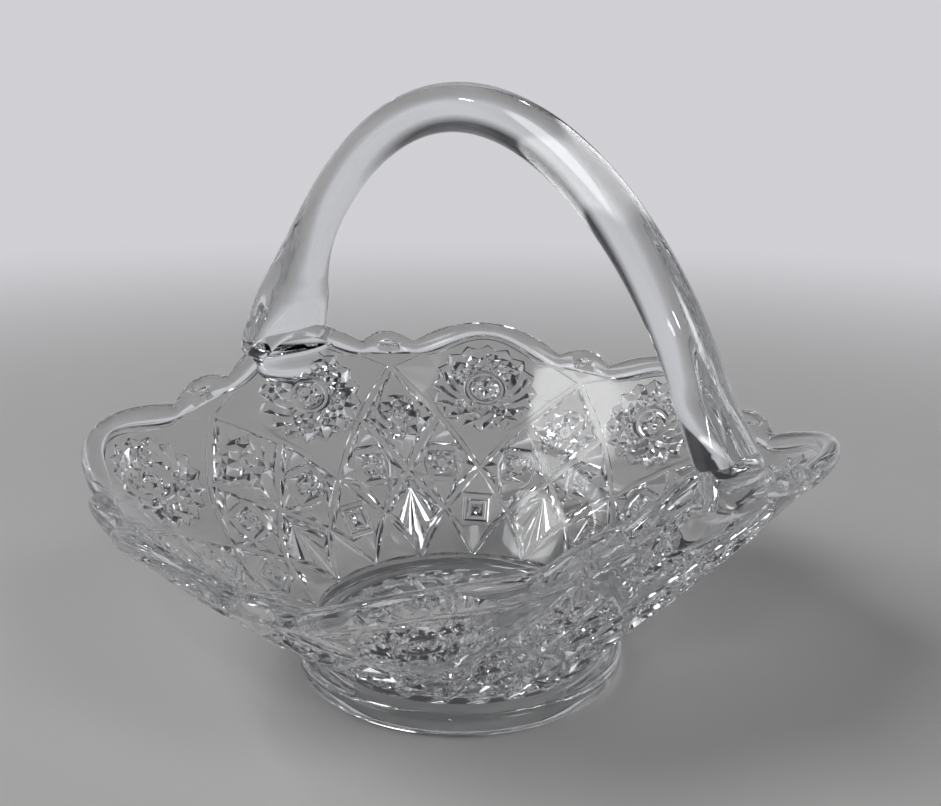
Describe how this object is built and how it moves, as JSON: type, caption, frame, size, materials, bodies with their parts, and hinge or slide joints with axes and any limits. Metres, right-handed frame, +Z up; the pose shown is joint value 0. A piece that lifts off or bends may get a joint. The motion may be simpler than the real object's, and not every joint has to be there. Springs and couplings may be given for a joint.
{
  "type": "glass basket",
  "caption": "Clear pressed cut-style glass basket: round footed bowl, scalloped rim pulled up at two sides, and a plain glass rod arched over it as a handle",
  "frame": {"origin": "centre of the ring the foot rests on", "axes": "+Z up, the handle's arch lies in the XZ plane, +Y is across the handle"},
  "size_m": [0.2096, 0.2042, 0.1718],
  "materials": {
    "clear_glass": "polished"
  },
  "bodies": {
    "root": {"glass_basket": "clear_glass"}
  },
  "joints": []
}
